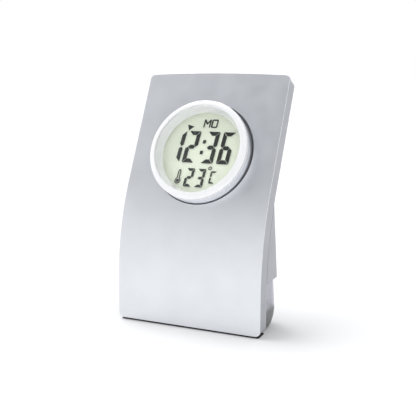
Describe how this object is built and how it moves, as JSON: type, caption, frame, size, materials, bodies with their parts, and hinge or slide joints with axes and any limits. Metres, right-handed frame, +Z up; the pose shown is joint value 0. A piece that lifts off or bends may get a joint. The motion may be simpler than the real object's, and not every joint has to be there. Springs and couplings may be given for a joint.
{
  "type": "digital desk clock",
  "caption": "Free-standing digital clock: a curved silver panel that leans back, a round domed display with day, time and temperature, and a battery wedge behind its foot.",
  "frame": {"origin": "middle of the clock's footprint, on the surface it stands on", "axes": "+Z up, the display faces -Y, +X to the right of someone who reads it"},
  "size_m": [0.085, 0.0504, 0.1363],
  "materials": {
    "silver_panel": "satin, faint brushing",
    "shell_grey": "satin moulded",
    "bezel_silver": "gloss silver paint",
    "bezel_white": "gloss",
    "lens_clear": "clear gloss",
    "lcd": "pale green display",
    "foil": "satin",
    "smoke_plastic": "gloss, translucent smoke",
    "black_plastic": "matte",
    "rubber": "matte",
    "board_green": "solder mask",
    "steel": "nickel plated",
    "ceramic_tan": "matte",
    "cell_jacket": "gloss printed jacket, plain",
    "wire_red": "insulation",
    "wire_black": "insulation"
  },
  "bodies": {
    "clock_body": {"front_panel": "silver_panel", "body_shell": "shell_grey", "back_cover": "shell_grey", "rear_housing": "shell_grey", "bezel_base": "bezel_silver", "bezel_ring": "bezel_white", "dome_lens": "lens_clear", "lcd_glass": "lcd", "lcd_reflector": "foil", "battery_case": "smoke_plastic", "lcd_holder": "black_plastic", "clock_chip": "black_plastic", "temperature_sensor": "black_plastic", "battery_tray": "black_plastic", "zebra_strip_lower": "rubber", "zebra_strip_upper": "rubber", "mode_button_dome": "rubber", "set_button_dome": "rubber", "units_button_dome": "rubber", "front_foot_strip": "rubber", "rear_foot_1": "rubber", "rear_foot_2": "rubber", "main_board": "board_green", "watch_crystal": "steel", "board_screw_1": "steel", "board_screw_2": "steel", "board_screw_3": "steel", "board_screw_4": "steel", "cover_screw_1": "steel", "cover_screw_2": "steel", "cover_screw_3": "steel", "cover_screw_4": "steel", "housing_screw_1": "steel", "housing_screw_2": "steel", "case_screw_1": "steel", "case_screw_2": "steel", "bridge_contact": "steel", "positive_contact": "steel", "negative_contact": "steel", "lower_contact_spring": "steel", "upper_contact_spring": "steel", "chip_capacitor_1": "ceramic_tan", "chip_capacitor_2": "ceramic_tan", "battery_lower": "cell_jacket", "battery_upper": "cell_jacket", "positive_lead": "wire_red", "negative_lead": "wire_black"},
    "battery_door": {"battery_door": "smoke_plastic"},
    "mode_button": {"mode_button": "shell_grey"},
    "set_button": {"set_button": "shell_grey"},
    "units_button": {"units_button": "shell_grey"}
  },
  "joints": [
    {"name": "battery_door_hinge", "type": "hinge", "parent": "clock_body", "child": "battery_door", "pos_m": [0, 0.00461, 0.0052], "axis": [-1, 0, 0], "range_deg": [0, 80]},
    {"name": "mode_button_press", "type": "slide", "parent": "clock_body", "child": "mode_button", "axis": [0, -0.9003, 0.4352], "range_m": [0, 0.0008], "stiffness_N_per_m": 1500, "deforming": ["mode_button_dome"]},
    {"name": "set_button_press", "type": "slide", "parent": "clock_body", "child": "set_button", "axis": [0, -0.9003, 0.4352], "range_m": [0, 0.0008], "stiffness_N_per_m": 1500, "deforming": ["set_button_dome"]},
    {"name": "units_button_press", "type": "slide", "parent": "clock_body", "child": "units_button", "axis": [0, -0.9003, 0.4352], "range_m": [0, 0.0008], "stiffness_N_per_m": 1500, "deforming": ["units_button_dome"]}
  ]
}
